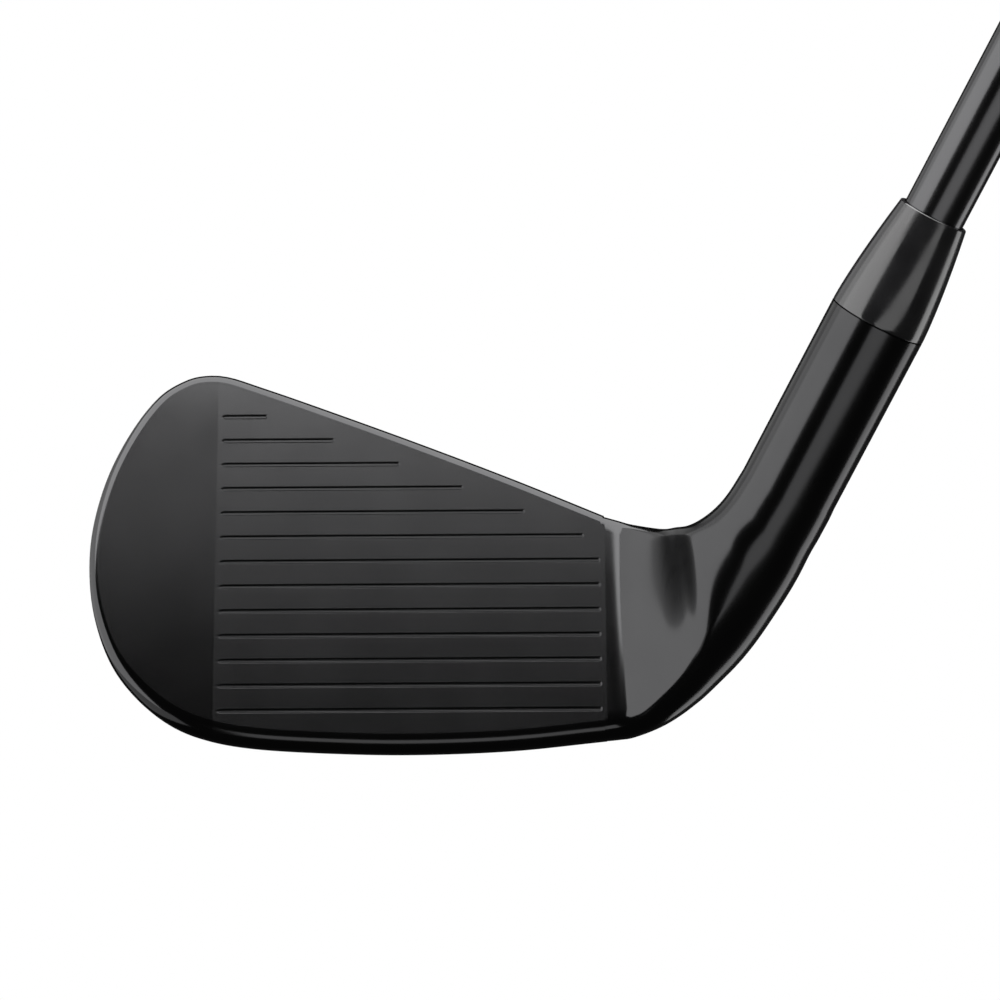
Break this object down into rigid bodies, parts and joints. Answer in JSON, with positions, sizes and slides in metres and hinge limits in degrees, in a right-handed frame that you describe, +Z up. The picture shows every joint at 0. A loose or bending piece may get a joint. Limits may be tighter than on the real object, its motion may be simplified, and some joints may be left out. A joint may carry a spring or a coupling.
{
  "type": "iron golf club",
  "caption": "Right-handed mid iron with a black hollow steel head, score lines on the face, a ferrule, a stepped steel shaft and a rubber grip.",
  "frame": {"origin": "on the shaft axis in the middle of the hands, 140 mm below the butt end", "axes": "+Z up at address, +X from the toe towards the heel and the butt, -Y towards the target"},
  "size_m": [0.5175, 0.0471, 0.8443],
  "materials": {
    "black_head": "satin black coated steel",
    "black_face": "black coated steel, blasted between the edges of the score lines",
    "black_shaft": "satin black coated steel",
    "black_plastic": "satin black",
    "tungsten": "sintered, grey",
    "polymer": "matt",
    "badge_metal": "brushed, black anodised",
    "foam_tape": "matt",
    "epoxy": "cured resin",
    "rubber": "matt, textured"
  },
  "bodies": {
    "root": {"head_body": "black_head", "face_plate": "black_face", "toe_weight": "tungsten", "heel_weight": "tungsten", "damping_core": "polymer", "back_badge": "badge_metal", "badge_adhesive": "foam_tape", "hosel_bond": "epoxy", "ferrule": "black_plastic", "shaft": "black_shaft", "tip_weight": "tungsten", "grip_tape": "foam_tape", "grip": "rubber", "grip_cap": "rubber"}
  },
  "joints": []
}
